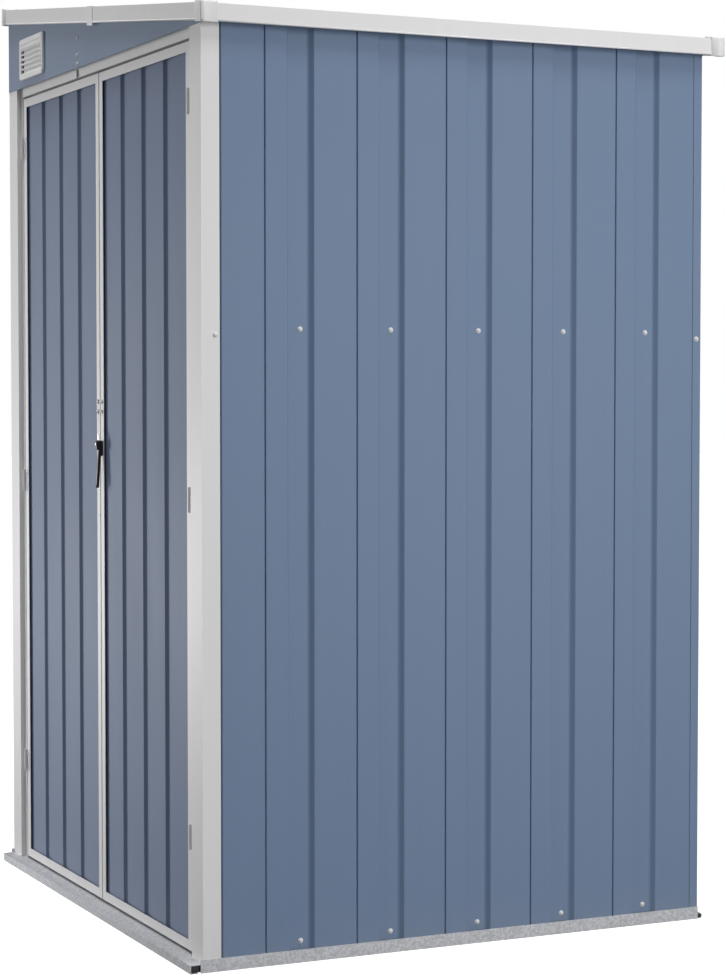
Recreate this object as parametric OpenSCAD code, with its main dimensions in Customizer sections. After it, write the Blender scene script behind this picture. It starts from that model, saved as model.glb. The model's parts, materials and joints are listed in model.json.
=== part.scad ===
// Metal storage shed with a lean-to roof and a pair of hinged doors in its front.
// Millimetres. +X is right as seen from the doors, +Y is back, +Z is up.
// The origin is on the ground, at the middle of everything that the shed covers.

/* [Overall] */
// Width over the corner posts
frame_w = 1092; // [900:10:1400]
// Depth from the front of the posts to the back wall
frame_d = 991; // [800:10:1300]
// Height at the high side of the roof
overall_h = 1783; // [1500:10:2200]
// Fall of the roof from the high side to the low side
roof_fall = 144; // [60:2:200]

/* [Roof] */
// How far the roof reaches past each side wall
side_reach = 26; // [15:1:60]
// How far the roof reaches past the posts in front
front_reach = 9; // [6:1:40]
// How far the roof reaches past the back wall
back_reach = 34; // [15:1:60]
// Height of the white trim round the roof
trim_h = 30; // [24:1:60]
// Width of the trim's upper lip, which lies on the roof sheets
trim_lip = 22; // [12:1:30]
// Width of the inturned foot of the trim
trim_foot = 5; // [3:0.5:9]
// Height of the ribs in the roof sheets
roof_rib_h = 8; // [5:1:10]
// Distance from one rib in the roof sheets to the next
roof_rib_pitch = 86; // [60:1:120]
// Distance from a roof sheet's front edge to its first rib
roof_rib_first = 40; // [30:1:60]
// Distance from the low end of the front trim to its joint
trim_joint_at = 575; // [300:5:700]
// Width of the cover over a joint in the trim
joint_cover_w = 30; // [10:1:40]
// How far a joint cover hangs below the trim
cover_drop = 5; // [2:0.5:8]
// Width of each arm of a corner cap
cap_w = 30; // [25:1:60]
// How far a corner cap stands above the trim
cap_rise = 4; // [2:0.5:8]
// How far a corner cap hangs below the trim
cap_drop = 2; // [0:0.5:5]
// Depth of the beam under the roof sheets
beam_h = 30; // [20:1:50]
// Width of the beam's upper flange
beam_w = 40; // [24:1:60]

/* [Sheet metal] */
// Thickness of the ribbed sheets
sheet_t = 0.6; // [0.5:0.1:1]
// Thickness of the trims and caps
trim_t = 0.8; // [0.6:0.1:1.5]
// Thickness of the posts, rails and door frames
frame_t = 1; // [0.8:0.1:1.5]

/* [Wall sheets] */
// Distance from one seam to the next
seam_pitch = 173; // [150:1:200]
// Distance from the front corner to the first seam
seam_first = 116; // [100:1:140]
// Width of a seam
seam_w = 3.5; // [3:0.5:8]
// Depth of a seam
seam_d = 3; // [2:0.5:7]
// Distance from a seam to the far side of the channel that follows it
channel_to = 92; // [70:1:110]
// Width of the bottom of a channel
channel_floor = 39; // [25:1:50]
// Depth of a channel
channel_d = 8; // [5:0.5:10]

/* [Base] */
// Height of the outer lip of the side and back rails
lip_h = 23; // [16:1:40]
// Height of the inner flange that the wall sheets are bolted to
upstand_h = 60; // [40:1:90]
// How far the sill stands out in front of the posts
sill_reach = 23; // [15:1:60]
// Height of the front flange of the sill
sill_front_h = 15; // [12:1:24]
// Height of the sill under the doors
sill_back_h = 16; // [14:1:30]
// Width of the sill behind the front of the posts
sill_inner = 42; // [36:1:60]
// Radius of the rolled hem along the back rail
hem_r = 5.5; // [4:0.5:7]
// Width of the sill's inturned feet
sill_foot = 14; // [8:1:20]
// How far the side rails' outer lips start in front of the posts
lip_ahead = 5; // [0:1:12]

/* [Posts] */
// Width of a front post seen from the front
post_w = 53; // [40:1:80]
// Width of a front post seen from the side
post_side = 33; // [25:1:60]
// Width of a back post's flanges
back_post_w = 17; // [14:1:40]

/* [Doors] */
// How far the doors lie behind the front of the posts
door_recess = 8; // [6:0.5:15]
// Width of a door jamb
jamb_w = 16; // [12:1:40]
// Depth of the jamb's and the head's return
jamb_return = 22; // [15:1:34]
// Height of the fixed head over the doors
head_h = 16; // [12:1:60]
// How far the head runs up behind the gable panel
head_lap = 16; // [8:1:30]
// How far the jambs run in behind the posts
jamb_lap = 6; // [3:0.5:12]
// Gap round each door and between the two
door_gap = 5; // [5:0.5:8]
// Width of the frame round a door, seen from the front
stile_w = 17; // [14:1:40]
// Thickness of a door
door_t = 20; // [16:1:30]
// How far a door's sheet lies behind the face of its frame
panel_recess = 5; // [3:0.5:7]
// Distance from one channel in a door's sheet to the next
door_rib_pitch = 112; // [90:0.5:130]
// Distance from the left edge of a door's sheet to its first channel
door_rib_first = 103; // [100:1:140]
// Width of the bottom of a channel in a door's sheet
door_rib_floor = 30; // [15:1:50]
// Depth of a channel in a door's sheet
door_rib_d = 5; // [3:0.5:6]

/* [Hinges and lock] */
// Radius of a hinge's knuckles
knuckle_r = 3; // [2.5:0.1:3.5]
// Radius of a hinge's pin
pin_r = 1.5; // [1.2:0.1:2]
// Clearance round a hinge's pin
pin_clear = 0.1; // [0.05:0.01:0.1]
// Height of a hinge
hinge_h = 44; // [30:1:70]
// Width of each plate of a hinge
hinge_plate_w = 11; // [8:1:14]
// Distance from a door's top to the middle of its top hinge
hinge_from_top = 102; // [60:1:250]
// Distance from a door's bottom to the middle of its bottom hinge
hinge_from_bottom = 200; // [60:1:250]
// Gap between two knuckles of a hinge
knuckle_gap = 0.5; // [0.3:0.1:1]
// Height of the middle of the lock's housing
lock_z = 881; // [700:1:1100]
// Width of the lock's housing
lock_w = 11; // [8:0.5:13]
// Height of the lock's housing
lock_h = 28; // [20:1:40]
// How far the lock's housing stands out from the door
lock_d = 13; // [8:0.5:20]
// Length of the handle that hangs from the lock's housing
handle_len = 62; // [40:1:90]
// Width of the handle
handle_w = 9; // [6:0.5:11]
// Thickness of the handle
handle_t = 4; // [3:0.5:6]

/* [Vent] */
// Width of the vent
vent_w = 154; // [100:1:220]
// Height of the vent
vent_h = 83; // [50:1:90]
// Distance from the left side of the frame to the vent
vent_from_left = 88; // [60:1:160]
// Distance from the bottom of the gable panel to the vent
vent_above = 14; // [8:1:40]
// Width of the vent's rim
vent_rim = 12; // [8:1:16]
// Thickness of the vent
vent_t = 5; // [3:0.5:7]
// Number of slots in the vent
vent_slots = 5; // [3:1:7]
// Height of a slot in the vent
vent_slot_h = 6; // [4:0.5:9]

/* [Rails inside] */
// Height of the middle of the rails halfway up the walls
mid_rail_z = 1095; // [600:5:1300]
// Height of the rails' wall flange
rail_h = 36; // [24:1:60]
// Width of the rails' inner flange
rail_in = 20; // [12:1:40]

/* [Hidden] */
$fn = 48;

blue = [0.43, 0.50, 0.60];
door_blue = [0.48, 0.52, 0.59];
white = [0.86, 0.85, 0.86];
galvanised = [0.68, 0.68, 0.69];
black = [0.06, 0.06, 0.07];

// Gap left between pieces that lie on each other
fit = 0.2;
// Run of the two sides of a channel, the sloping one and the steep one
slope_run = 8;
steep_run = 3;
door_slope_run = 5;
// Run of each side of a seam
seam_run = 1;
// Play between a sheet's edge and the inside of the post that covers it
edge_play = 4;
// Height left between the high side's walls or rails and the roof sheets over them
top_play = 2;

half_w = frame_w / 2;
front_y = (sill_reach - back_reach - frame_d) / 2;
back_y = front_y + frame_d;
half_roof = half_w + side_reach;
roof_angle = atan(roof_fall / (2 * half_roof));
// How far the caps' and covers' outer faces lie outside the trim's
cap_over = trim_t + fit;
// Vertical distance from the top of the trim to the underside of the roof sheets
roof_stack = trim_t + 2 * fit + (roof_rib_h + sheet_t) / cos(roof_angle) + fit;

// Height of the top of the trim at a place across the shed
function roof_z(x) = overall_h - cap_rise - roof_fall * (x + half_roof) / (2 * half_roof);
// Height of what stands under the roof sheets
function under_roof(x) = roof_z(x) - roof_stack;

gable_z = roof_z(half_roof) - trim_h + fit;
sheet_out = half_w - frame_t - fit;
sheet_in = sheet_out - channel_d - sheet_t;
sheet_back_y = back_y - frame_t - fit;
back_in = sheet_back_y - channel_d - sheet_t - fit;
base_t = frame_t;
head_z = gable_z - head_h;

jamb_x = half_w - post_w - jamb_w;
door_face_y = front_y + door_recess;
door_out_x = jamb_x - door_gap;
door_in_x = door_gap / 2;
door_w = door_out_x - door_in_x;
door_bottom = sill_back_h + door_gap;
door_top = head_z - door_gap;
pin_x = jamb_x - door_gap / 2;
pin_y = door_face_y - knuckle_r - fit;
hinge_zs = [door_bottom + hinge_from_bottom, (door_bottom + door_top) / 2, door_top - hinge_from_top];
mid_y = (front_y + back_y) / 2;

// ---------- Folded sheet ----------

function unit(v) = v / norm(v);
function left_of(v) = [-v[1], v[0]];
// A point of a path moved to the left of the way it runs, mitred at a bend
function beside(p, i, t) =
    let (
        last = len(p) - 1,
        a = unit(p[max(i, 1)] - p[max(i, 1) - 1]),
        b = unit(p[min(i + 1, last)] - p[min(i + 1, last) - 1]),
        m = unit(left_of(a) + left_of(b))
    ) p[i] + m * t / (m * left_of(a));
// Section of a sheet of thickness t, folded along a path and lying to its left
module folded(p, t) {
    polygon(concat(p, [for (i = [len(p) - 1 : -1 : 0]) beside(p, i, t)]));
}
// A section in X and Y, carried from one height to another
module along_z(z0, z1) { translate([0, 0, z0]) linear_extrude(z1 - z0) children(); }
// A section in Y and Z, carried from left to right
module along_x(x0, x1) { translate([x0, 0, 0]) rotate([90, 0, 90]) linear_extrude(x1 - x0) children(); }
// A section in X and Z, carried from front to back
module along_y(y0, y1) { translate([0, y1, 0]) rotate([90, 0, 0]) linear_extrude(y1 - y0) children(); }
module box(lo, hi) { translate(lo) cube(hi - lo); }
module both_sides() { children(); mirror([1, 0, 0]) children(); }
// A bar that follows the roof between two depths below the top of the trim
module roof_bar(x0, x1, top, bottom, y0, y1) {
    along_y(y0, y1) polygon([
        [x0, roof_z(x0) - bottom], [x1, roof_z(x1) - bottom],
        [x1, roof_z(x1) - top], [x0, roof_z(x0) - top]
    ]);
}

// ---------- Ribbed sheets: paths of [distance along, depth] ----------

function seam(s) = [
    [s - seam_w / 2, 0], [s - seam_w / 2 + seam_run, -seam_d],
    [s + seam_w / 2 - seam_run, -seam_d], [s + seam_w / 2, 0]
];
// A channel whose sloping side ends at s
function channel(s) = [
    [s - slope_run - channel_floor - steep_run, 0], [s - slope_run - channel_floor, -channel_d],
    [s - slope_run, -channel_d], [s, 0]
];
function wall_bays(length) = floor((length - back_post_w - seam_first - channel_to) / seam_pitch);
// A wall sheet from its first edge, given as points, to its last, under a back post
function wall_path(edge, length) = concat(
    edge,
    [for (n = [0 : wall_bays(length)]) for (q = concat(
        seam(seam_first + n * seam_pitch), channel(seam_first + n * seam_pitch + channel_to)
    )) q],
    [[length - post_tuck, 0]]
);
// How far a wall sheet's edge lies inside the corner that a post covers
post_tuck = frame_t + edge_play;
// Under a front post a side wall lies deeper, and comes out just past the post's flange
front_edge = [
    [post_tuck + channel_d, -channel_d], [post_side - slope_run / 2, -channel_d],
    [post_side + slope_run / 2, 0]
];
// A door's sheet, whose channels have their sloping side at the left
function door_path(length) = concat(
    [[0, 0]],
    [for (s = [door_rib_first : door_rib_pitch : length - door_rib_floor - 2 * stile_w]) for (q = [
        [s, 0], [s + door_slope_run, -door_rib_d],
        [s + door_slope_run + door_rib_floor, -door_rib_d],
        [s + door_slope_run + door_rib_floor + steep_run, 0]
    ]) q],
    [[length, 0]]
);
// Two paths' turns: distance and depth to places in the shed
function to_right(p) = [for (q = p) [sheet_out + q[1], front_y + q[0]]];
function to_back(p) = [for (q = p) [half_w - q[0], sheet_back_y + q[1]]];
function to_front(p, x, y) = [for (q = p) [x + q[0], y - q[1]]];

// ---------- Base ----------

module front_base_rail() {
    y0 = front_y - sill_reach;
    y1 = front_y + sill_inner;
    color(galvanised) along_x(-half_w, half_w) folded([
        [y0 + sill_foot, 0], [y0, 0], [y0, sill_front_h], [front_y, sill_back_h],
        [y1, sill_back_h], [y1, 0], [y1 - sill_foot, 0]
    ], -base_t);
}

module side_base_rail() {
    y0 = front_y + sill_inner + fit;
    y1 = back_y - back_post_w - fit;
    color(galvanised) {
        along_y(y0, y1) folded([
            [half_w + base_t, lip_h], [half_w + base_t, 0],
            [sheet_in - fit - base_t, 0], [sheet_in - fit - base_t, upstand_h]
        ], -base_t);
        box([half_w, front_y - lip_ahead, 0], [half_w + base_t, back_y + base_t, lip_h]);
    }
}
module right_base_rail() { side_base_rail(); }
module left_base_rail() { mirror([1, 0, 0]) side_base_rail(); }

module back_base_rail() {
    inner = back_in - base_t;
    color(galvanised) {
        along_x(-sheet_in + fit, sheet_in - fit)
            folded([[inner, upstand_h], [inner, 0], [back_y, 0]], base_t);
        along_x(-half_w + fit, half_w - fit) {
            folded([[inner, 0], [back_y + base_t, 0], [back_y + base_t, lip_h]], base_t);
            translate([back_y + hem_r, hem_r]) difference() {
                circle(r = hem_r);
                circle(r = hem_r - base_t);
            }
        }
    }
}

// ---------- Posts ----------

module front_post() {
    color(white) along_z(sill_back_h + fit, under_roof(half_w)) folded([
        [half_w, front_y + post_side], [half_w, front_y],
        [half_w - post_w, front_y], [half_w - post_w, front_y + door_recess - fit]
    ], -frame_t);
}
module back_post(z1) {
    color(blue) along_z(base_t + fit, z1) folded([
        [half_w, back_y - back_post_w], [half_w, back_y], [half_w - back_post_w, back_y]
    ], frame_t);
}
module front_right_post() { front_post(); }
module front_left_post() {
    // The high side's post is longer, so it takes its top from the roof there
    color(white) along_z(sill_back_h + fit, under_roof(-half_w + post_w)) folded([
        [-half_w, front_y + post_side], [-half_w, front_y],
        [-half_w + post_w, front_y], [-half_w + post_w, front_y + door_recess - fit]
    ], frame_t);
}
module back_right_post() { back_post(under_roof(half_w)); }
module back_left_post() { mirror([1, 0, 0]) back_post(under_roof(-half_w + back_post_w)); }

// ---------- Walls ----------

module side_wall(z1) {
    color(blue) difference() {
        along_z(base_t + fit, z1) folded(to_right(wall_path(front_edge, frame_d)), sheet_t);
        // The first edge stands on the sill
        box([0, front_y, 0], [half_w, front_y + sill_inner + fit, sill_back_h + fit]);
    }
}
module right_wall() { side_wall(under_roof(half_w)); }
module left_wall() { mirror([1, 0, 0]) side_wall(under_roof(-half_w + channel_d + top_play)); }
module back_wall() {
    color(blue) along_z(base_t + fit, gable_z)
        folded(to_back(wall_path([[post_tuck, 0]], frame_w)), sheet_t);
}

module gable(y0, y1) {
    along_y(y0, y1) polygon([
        [-half_w, gable_z], [half_w, gable_z],
        [half_w, under_roof(half_w)], [-half_w, under_roof(-half_w)]
    ]);
}
vent_x0 = -half_w + vent_from_left;
vent_z0 = gable_z + vent_above;
module front_gable_panel() {
    color(blue) difference() {
        gable(front_y - fit - trim_t, front_y - fit);
        box([vent_x0 + vent_rim, front_y - vent_t, vent_z0 + vent_rim],
            [vent_x0 + vent_w - vent_rim, front_y + vent_t, vent_z0 + vent_h - vent_rim]);
    }
}
module back_gable_panel() {
    color(blue) gable(back_y + fit, back_y + fit + trim_t);
}

module vent() {
    y1 = front_y - 2 * fit - trim_t;
    // The slots share what lies between the rims evenly
    slot_pitch = (vent_h - 2 * vent_rim - vent_slot_h) / (vent_slots - 1);
    color(white) difference() {
        box([vent_x0, y1 - vent_t, vent_z0], [vent_x0 + vent_w, y1, vent_z0 + vent_h]);
        for (n = [0 : vent_slots - 1]) {
            z = vent_z0 + vent_rim + n * slot_pitch;
            box([vent_x0 + vent_rim, y1 - 2 * vent_t, z],
                [vent_x0 + vent_w - vent_rim, y1 + vent_t, z + vent_slot_h]);
        }
    }
}

// ---------- Rails inside ----------

module side_mid_rail() {
    x1 = sheet_in - fit;
    color(galvanised) along_y(front_y + sill_inner, back_y - sill_inner) folded([
        [x1, mid_rail_z - rail_h / 2], [x1, mid_rail_z + rail_h / 2], [x1 - rail_in, mid_rail_z + rail_h / 2]
    ], frame_t);
}
module right_mid_rail() { side_mid_rail(); }
module left_mid_rail() { mirror([1, 0, 0]) side_mid_rail(); }
module back_mid_rail() {
    color(galvanised) along_x(-sheet_in + fit + rail_in, sheet_in - fit - rail_in) folded([
        [back_in, mid_rail_z - rail_h / 2], [back_in, mid_rail_z + rail_h / 2],
        [back_in - rail_in, mid_rail_z + rail_h / 2]
    ], frame_t);
}
module top_rail(z1) {
    x1 = sheet_in - fit;
    along_y(front_y + sill_inner, back_y - sill_inner) folded([
        [x1, z1 - rail_h], [x1, z1], [x1 - rail_in, z1]
    ], frame_t);
}
module wall_top_rails() {
    color(galvanised) {
        top_rail(under_roof(half_w));
        mirror([1, 0, 0]) top_rail(under_roof(-sheet_in + rail_in + top_play));
    }
}

// ---------- Doorway ----------

module door_head() {
    y0 = door_face_y;
    color(white) along_x(-half_w + post_w + fit, half_w - post_w - fit) folded([
        [y0, gable_z + head_lap], [y0, head_z], [y0 + jamb_return, head_z]
    ], frame_t);
}
module door_jamb() {
    color(white) along_z(sill_back_h + fit, head_z - fit) folded([
        [half_w - post_w + jamb_lap, door_face_y], [jamb_x, door_face_y], [jamb_x, door_face_y + jamb_return]
    ], -frame_t);
}
module right_door_jamb() { door_jamb(); }
module left_door_jamb() { mirror([1, 0, 0]) door_jamb(); }

// ---------- Hinges: three knuckles on a pin, the middle one on the jamb ----------

// How far a hinge's plates stay back from the edges that they lie along
edge_t = 1;
knuckle_h = (hinge_h - 2 * knuckle_gap) / 3;
module knuckle(z0, z1, r) { translate([pin_x, pin_y, z0]) cylinder(r = r, h = z1 - z0); }
module jamb_hinge(z) {
    z0 = z - knuckle_h / 2;
    z1 = z + knuckle_h / 2;
    knuckle(z0, z1, knuckle_r);
    knuckle(z - hinge_h / 2, z + hinge_h / 2, pin_r);
    box([pin_x, pin_y + knuckle_r - trim_t, z0], [jamb_x + hinge_plate_w, door_face_y - fit, z1]);
    box([jamb_x + edge_t, pin_y + knuckle_r - trim_t, z - hinge_h / 2],
        [jamb_x + hinge_plate_w, door_face_y - fit, z + hinge_h / 2]);
}
module jamb_hinges() { color(white) both_sides() for (z = hinge_zs) jamb_hinge(z); }

module door_hinge(z) {
    difference() {
        union() {
            for (s = [-1, 1]) {
                z0 = s < 0 ? z - hinge_h / 2 : z + knuckle_h / 2 + knuckle_gap;
                z1 = z0 + knuckle_h;
                knuckle(z0, z1, knuckle_r);
                box([door_out_x - hinge_plate_w, pin_y + knuckle_r - trim_t, z0],
                    [pin_x, door_face_y - fit, z1]);
            }
            box([door_out_x - hinge_plate_w, pin_y + knuckle_r - trim_t, z - hinge_h / 2],
                [door_out_x - edge_t, door_face_y - fit, z + hinge_h / 2]);
        }
        knuckle(z - hinge_h, z + hinge_h, pin_r + pin_clear);
    }
}
module door_hinges() { color(white) for (z = hinge_zs) door_hinge(z); }
module right_door_hinges() { door_hinges(); }
module left_door_hinges() { mirror([1, 0, 0]) door_hinges(); }

// ---------- Doors: a sheet held in a frame of channels ----------

// Section of a frame channel, open towards the door's middle: the face, the edge and a back flange
channel_path = [[stile_w, 0], [0, 0], [0, door_t], [stile_w, door_t]];
module stile(x, way) {
    color(white) along_z(door_bottom, door_top)
        folded([for (q = channel_path) [x + way * q[0], door_face_y + q[1]]], way * -frame_t);
}
module rail(x0, x1, z, way) {
    color(white) along_x(x0, x1)
        folded([for (q = channel_path) [door_face_y + q[1], z + way * q[0]]], way * frame_t);
}
module door_top_rail(x0) { rail(x0 + stile_w + fit, x0 + door_w - stile_w - fit, door_top, -1); }
module door_bottom_rail(x0) { rail(x0 + stile_w + fit, x0 + door_w - stile_w - fit, door_bottom, 1); }
module door_panel(x0) {
    inset = frame_t + fit;
    color(door_blue) along_z(door_bottom + inset, door_top - inset)
        folded(to_front(door_path(door_w - 2 * inset), x0 + inset, door_face_y + panel_recess), sheet_t);
}
module right_door_panel() { door_panel(door_in_x); }
module right_door_hinge_stile() { stile(door_out_x, -1); }
module right_door_meeting_stile() { stile(door_in_x, 1); }
module right_door_top_rail() { door_top_rail(door_in_x); }
module right_door_bottom_rail() { door_bottom_rail(door_in_x); }
module left_door_panel() { door_panel(-door_out_x); }
module left_door_hinge_stile() { stile(-door_out_x, 1); }
module left_door_meeting_stile() { stile(-door_in_x, -1); }
module left_door_top_rail() { door_top_rail(-door_out_x); }
module left_door_bottom_rail() { door_bottom_rail(-door_out_x); }

// On the right door's meeting stile: a housing, with a handle that hangs from its front
module door_lock() {
    x = door_in_x + stile_w / 2 - lock_w / 2;
    y1 = door_face_y - fit;
    z0 = lock_z - lock_h / 2;
    color(black) {
        box([x, y1 - lock_d, z0], [x + lock_w, y1, z0 + lock_h]);
        translate([x + (lock_w - handle_w) / 2, y1 - lock_d, z0 - handle_len])
            cube([handle_w, handle_t, handle_len + handle_t]);
    }
}

// ---------- Roof ----------

roof_front = front_y - front_reach + cap_over;
roof_rear = back_y + back_reach - cap_over;
roof_end = half_roof - cap_over;
function roof_ribs(s0, s1) = concat(
    [[s0, 0]],
    [for (s = [s0 + roof_rib_first : roof_rib_pitch : s1 - roof_rib_first - 3 * slope_run]) for (q = [
        [s, 0], [s + slope_run, roof_rib_h], [s + 2 * slope_run, roof_rib_h], [s + 3 * slope_run, 0]
    ]) q],
    [[s1, 0]]
);
// Ribs run down the slope; the sheet's ribs touch the trim's lip
module roof_panel(y0, y1) {
    inset = trim_t + fit;
    length = 2 * (roof_end - inset) / cos(roof_angle) - 2 * inset;
    color(blue)
        translate([-roof_end + inset, 0, roof_z(-roof_end + inset) - trim_t - fit])
        rotate([0, roof_angle, 0])
        translate([inset, 0, -roof_rib_h - sheet_t - fit])
        rotate([90, 0, 90]) linear_extrude(length) folded(roof_ribs(y0, y1), sheet_t);
}
module front_roof_panel() { roof_panel(roof_front + trim_t + fit, mid_y - fit / 2); }
module back_roof_panel() { roof_panel(mid_y + fit / 2, roof_rear - trim_t - fit); }
module roof_beam() {
    x1 = sheet_in - rail_in - 2 * fit;
    color(galvanised) {
        roof_bar(-x1, x1, roof_stack, roof_stack + frame_t, mid_y - beam_w / 2, mid_y + beam_w / 2);
        roof_bar(-x1, x1, roof_stack, roof_stack + beam_h, mid_y - frame_t / 2, mid_y + frame_t / 2);
    }
}

// Trim that runs down the slope, with its face at y and its lips reaching by way
module slope_trim(x0, x1, y, way) {
    lip_y = y + way * trim_lip;
    foot_y = y + way * trim_foot;
    face_y = y + way * trim_t;
    roof_bar(x0, x1, 0, trim_h, min(y, face_y), max(y, face_y));
    roof_bar(x0, x1, 0, trim_t, min(y, lip_y), max(y, lip_y));
    roof_bar(x0, x1, trim_h - trim_t, trim_h, min(y, foot_y), max(y, foot_y));
}
trim_end = roof_end - trim_t - fit;
joint_x = half_roof - trim_joint_at;
joint_gap = 2;
module jointed_trim(y, way) {
    color(white) {
        slope_trim(-trim_end, joint_x - joint_gap / 2, y, way);
        slope_trim(joint_x + joint_gap / 2, trim_end, y, way);
    }
}
module front_roof_trim() { jointed_trim(roof_front, 1); }
module back_roof_trim() { jointed_trim(roof_rear, -1); }
// Trim along a side, whose upper lip follows the roof; side is 1 at the low side, -1 at the high side
module side_trim(side) {
    x0 = side * roof_end;
    xf = side * (roof_end - trim_t);
    xl = side * (roof_end - trim_lip);
    xb = side * (roof_end - trim_foot);
    y0 = roof_front + trim_lip + fit;
    y1 = roof_rear - trim_lip - fit;
    color(white) {
        roof_bar(min(x0, xf), max(x0, xf), 0, trim_h, roof_front, roof_rear);
        roof_bar(min(x0, xl), max(x0, xl), 0, trim_t, y0, y1);
        roof_bar(min(x0, xb), max(x0, xb), trim_h - trim_t, trim_h, y0, y1);
    }
}
module right_roof_trim() { side_trim(1); }
module left_roof_trim() { side_trim(-1); }
module trim_joint_covers() {
    x0 = joint_x - joint_cover_w / 2;
    x1 = joint_x + joint_cover_w / 2;
    color(white) for (side = [-1, 1]) {
        y = side < 0 ? roof_front - fit : roof_rear + fit;
        y_out = y + side * trim_t;
        y_in = y - side * (trim_lip + fit);
        roof_bar(x0, x1, -cap_over, trim_h + cover_drop, min(y, y_out), max(y, y_out));
        roof_bar(x0, x1, -cap_over, -fit, min(y_out, y_in), max(y_out, y_in));
    }
}
// A cap over one corner: a front arm, a side arm and a top
module corner_cap(side, front) {
    y_out = front < 0 ? roof_front - cap_over : roof_rear + cap_over;
    y_face = y_out - front * trim_t;
    y_arm = y_out - front * cap_w;
    x_out = side * half_roof;
    x_face = side * (half_roof - trim_t);
    x_arm = side * (half_roof - cap_w);
    foot = trim_h + cap_drop;
    roof_bar(min(x_out, x_arm), max(x_out, x_arm), -cap_rise, foot, min(y_out, y_face), max(y_out, y_face));
    roof_bar(min(x_out, x_face), max(x_out, x_face), -cap_rise, foot, min(y_out, y_arm), max(y_out, y_arm));
    roof_bar(min(x_out, x_arm), max(x_out, x_arm), -cap_rise, trim_t - cap_rise,
        min(y_out, y_arm), max(y_out, y_arm));
}
module roof_corner_caps() {
    color(white) for (side = [-1, 1]) for (front = [-1, 1]) corner_cap(side, front);
}

front_base_rail();
right_base_rail();
left_base_rail();
back_base_rail();
front_right_post();
front_left_post();
back_right_post();
back_left_post();
right_wall();
left_wall();
back_wall();
front_gable_panel();
back_gable_panel();
right_mid_rail();
left_mid_rail();
back_mid_rail();
wall_top_rails();
door_head();
right_door_jamb();
left_door_jamb();
jamb_hinges();
vent();
front_roof_panel();
back_roof_panel();
roof_beam();
front_roof_trim();
back_roof_trim();
right_roof_trim();
left_roof_trim();
trim_joint_covers();
roof_corner_caps();
left_door_panel();
left_door_hinge_stile();
left_door_meeting_stile();
left_door_top_rail();
left_door_bottom_rail();
left_door_hinges();
right_door_panel();
right_door_hinge_stile();
right_door_meeting_stile();
right_door_top_rail();
right_door_bottom_rail();
right_door_hinges();
door_lock();
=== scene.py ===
import json
import math

import bmesh
import bpy
import numpy as np
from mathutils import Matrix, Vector


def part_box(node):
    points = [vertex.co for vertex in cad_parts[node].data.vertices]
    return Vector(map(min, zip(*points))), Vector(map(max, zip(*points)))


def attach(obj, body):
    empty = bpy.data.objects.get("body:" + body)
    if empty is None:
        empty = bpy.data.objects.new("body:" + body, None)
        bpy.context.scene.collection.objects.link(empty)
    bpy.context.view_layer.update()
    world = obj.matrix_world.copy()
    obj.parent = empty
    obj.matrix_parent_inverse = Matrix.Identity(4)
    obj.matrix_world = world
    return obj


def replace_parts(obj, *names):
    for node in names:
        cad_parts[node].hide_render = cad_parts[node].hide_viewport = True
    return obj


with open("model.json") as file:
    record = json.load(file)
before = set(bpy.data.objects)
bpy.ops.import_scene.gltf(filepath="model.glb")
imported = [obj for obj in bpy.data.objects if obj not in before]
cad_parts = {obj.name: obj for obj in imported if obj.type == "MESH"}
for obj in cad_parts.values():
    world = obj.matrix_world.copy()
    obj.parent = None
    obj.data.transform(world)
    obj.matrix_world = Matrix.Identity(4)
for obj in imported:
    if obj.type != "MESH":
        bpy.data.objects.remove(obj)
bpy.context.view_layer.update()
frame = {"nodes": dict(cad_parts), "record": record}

# The metal shed: ribbed grey-blue sheets in folded white frames, on a galvanised base.
# Metres. +X is right as seen from the doors, +Y is back, +Z is up.

MM = 0.001
SHEET = 0.6 * MM          # thickness of the ribbed sheets
CAP_WALL = 0.9 * MM       # thickness of the corner caps
MERGE = 1e-6              # points nearer than this are one
X, Y, Z = np.eye(3)
MIRROR = np.array([-1.0, 1.0, 1.0])


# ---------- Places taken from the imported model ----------

def points_of(node):
    """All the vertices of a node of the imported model, as rows of x, y, z."""
    mesh = frame["nodes"][node].data
    flat = np.zeros(len(mesh.vertices) * 3, np.float32)
    mesh.vertices.foreach_get("co", flat)
    return flat.reshape(-1, 3).astype(float)


def low(node):
    """Lowest corner of a node's box."""
    return np.array(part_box(node)[0])


def high(node):
    """Highest corner of a node's box."""
    return np.array(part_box(node)[1])


POST = high("front_right_post")[0]            # half the width over the posts
FRONT = low("front_right_post")[1]            # the posts' front
BACK = high("back_right_post")[1]             # the back posts' back
CAPS = points_of("roof_corner_caps")
ROOF = CAPS[:, 0].max()                       # half the width of the roof
cap_right = CAPS[CAPS[:, 0] > 0]
cap_left = CAPS[CAPS[:, 0] < 0]
CAP_ARM = ROOF - cap_right[:, 0].min()
# Fall of the roof for each metre towards +X
SLOPE = (cap_left[:, 2].max() - cap_right[:, 2].max()) / (2 * ROOF - CAP_ARM)


def under_roof(x):
    """Height of the corner caps' tops, a straight line that falls towards +X."""
    return cap_left[:, 2].max() - SLOPE * (x + ROOF)


# ---------- Meshes from arrays ----------

def grid_faces(rows, cols, close_rows, close_cols):
    """Faces of a grid of points: each joins a point, its neighbour in the row, and the two below them."""
    r = np.arange(rows if close_rows else rows - 1)
    c = np.arange(cols if close_cols else cols - 1)
    r, c = (a.ravel() for a in np.meshgrid(r, c, indexing="ij"))
    r2, c2 = (r + 1) % rows, (c + 1) % cols
    return np.stack([r * cols + c, r * cols + c2, r2 * cols + c2, r2 * cols + c], 1)


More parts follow.
